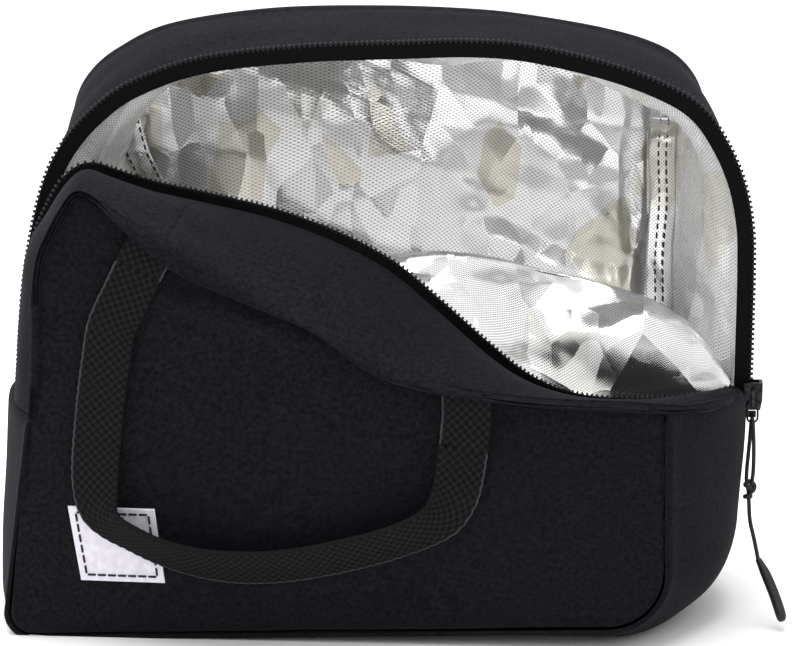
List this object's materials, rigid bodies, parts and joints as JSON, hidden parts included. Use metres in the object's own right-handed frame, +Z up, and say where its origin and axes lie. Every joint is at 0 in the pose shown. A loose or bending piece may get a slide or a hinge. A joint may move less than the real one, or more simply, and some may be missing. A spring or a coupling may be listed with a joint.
{
  "type": "lunch bag",
  "caption": "Soft insulated lunch bag, unzipped with its front slumped: black cloth walls, foil lining, all-round zip with cord pull, webbing carry handles and a bare sewn label.",
  "frame": {"origin": "on the floor under the middle of the bag's flat base", "axes": "+Z up, front panel faces -Y, +X along the bag's length towards the parked zip slider"},
  "size_m": [0.3144, 0.1198, 0.23],
  "materials": {
    "black_cloth": "plain-weave polyester cloth, matt black with a faint sheen",
    "black_webbing": "ribbed woven polypropylene webbing",
    "foam_sheet": "closed-cell insulating foam sheet",
    "foil_lining": "crinkled aluminised film with a fine diamond scrim",
    "zip_tape": "ribbed woven zip tape",
    "zip_coil": "black nylon zip coil",
    "woven_label": "pale satin-woven label, bare, with a dark stitched border",
    "dark_metal": "black-lacquered zinc and steel",
    "pull_cord": "fine braided cord",
    "moulded_grip": "soft moulded plastic, satin"
  },
  "bodies": {
    "bag": {"back_panel": "black_cloth", "back_foam": "foam_sheet", "back_lining": "foil_lining", "base_gusset": "black_cloth", "base_foam": "foam_sheet", "base_lining": "foil_lining", "back_zip_strip": "black_cloth", "back_strip_foam": "foam_sheet", "back_strip_lining": "foil_lining", "back_zip_tape": "zip_tape", "back_zip_teeth": "zip_coil", "front_panel": "black_cloth", "front_foam": "foam_sheet", "front_lining": "foil_lining", "front_zip_strip_left": "black_cloth", "front_zip_strip_right": "black_cloth", "front_zip_tape_left": "zip_tape", "front_zip_tape_right": "zip_tape", "front_zip_teeth_left": "zip_coil", "front_zip_teeth_right": "zip_coil", "front_handle_tacks": "black_webbing", "back_handle_tacks": "black_webbing", "sewn_label": "woven_label", "zip_foot_stop": "zip_coil"},
    "mouth_flap": {"front_zip_strip": "black_cloth", "front_strip_foam": "foam_sheet", "front_strip_lining": "foil_lining", "front_zip_tape": "zip_tape", "front_zip_teeth": "zip_coil"},
    "front_handle": {"front_handle": "black_webbing"},
    "back_handle": {"back_handle": "black_webbing"},
    "zip_slider": {"zip_slider": "dark_metal"},
    "pull_ring": {"pull_ring": "dark_metal"},
    "pull_cord": {"pull_cord_loop": "pull_cord", "pull_knot": "pull_cord", "pull_cord_tail": "pull_cord", "pull_grip": "moulded_grip"}
  },
  "joints": [
    {"name": "mouth_fold", "type": "hinge", "parent": "bag", "child": "mouth_flap", "pos_m": [-0.03651, -0.0562, 0.13179], "axis": [0.8738, 0, -0.4863], "range_deg": [-5, 70]},
    {"name": "front_handle_swing", "type": "hinge", "parent": "bag", "child": "front_handle", "pos_m": [-0.02657, -0.0589, 0.11676], "axis": [-0.8738, 0, 0.4863], "range_deg": [0, 160]},
    {"name": "back_handle_swing", "type": "hinge", "parent": "bag", "child": "back_handle", "pos_m": [0, 0.0589, 0.2177], "axis": [1, 0, 0], "range_deg": [0, 160]},
    {"name": "slider_travel", "type": "slide", "parent": "bag", "child": "zip_slider", "axis": [0, 0, 1], "range_m": [0, 0.055]},
    {"name": "ring_swing", "type": "hinge", "parent": "zip_slider", "child": "pull_ring", "pos_m": [0.14933, -0.00355, 0.08485], "axis": [1, 0, 0], "range_deg": [-80, 3]},
    {"name": "cord_swing", "type": "hinge", "parent": "pull_ring", "child": "pull_cord", "pos_m": [0.14933, -0.00355, 0.07635], "axis": [1, 0, 0], "range_deg": [-70, 4]}
  ]
}
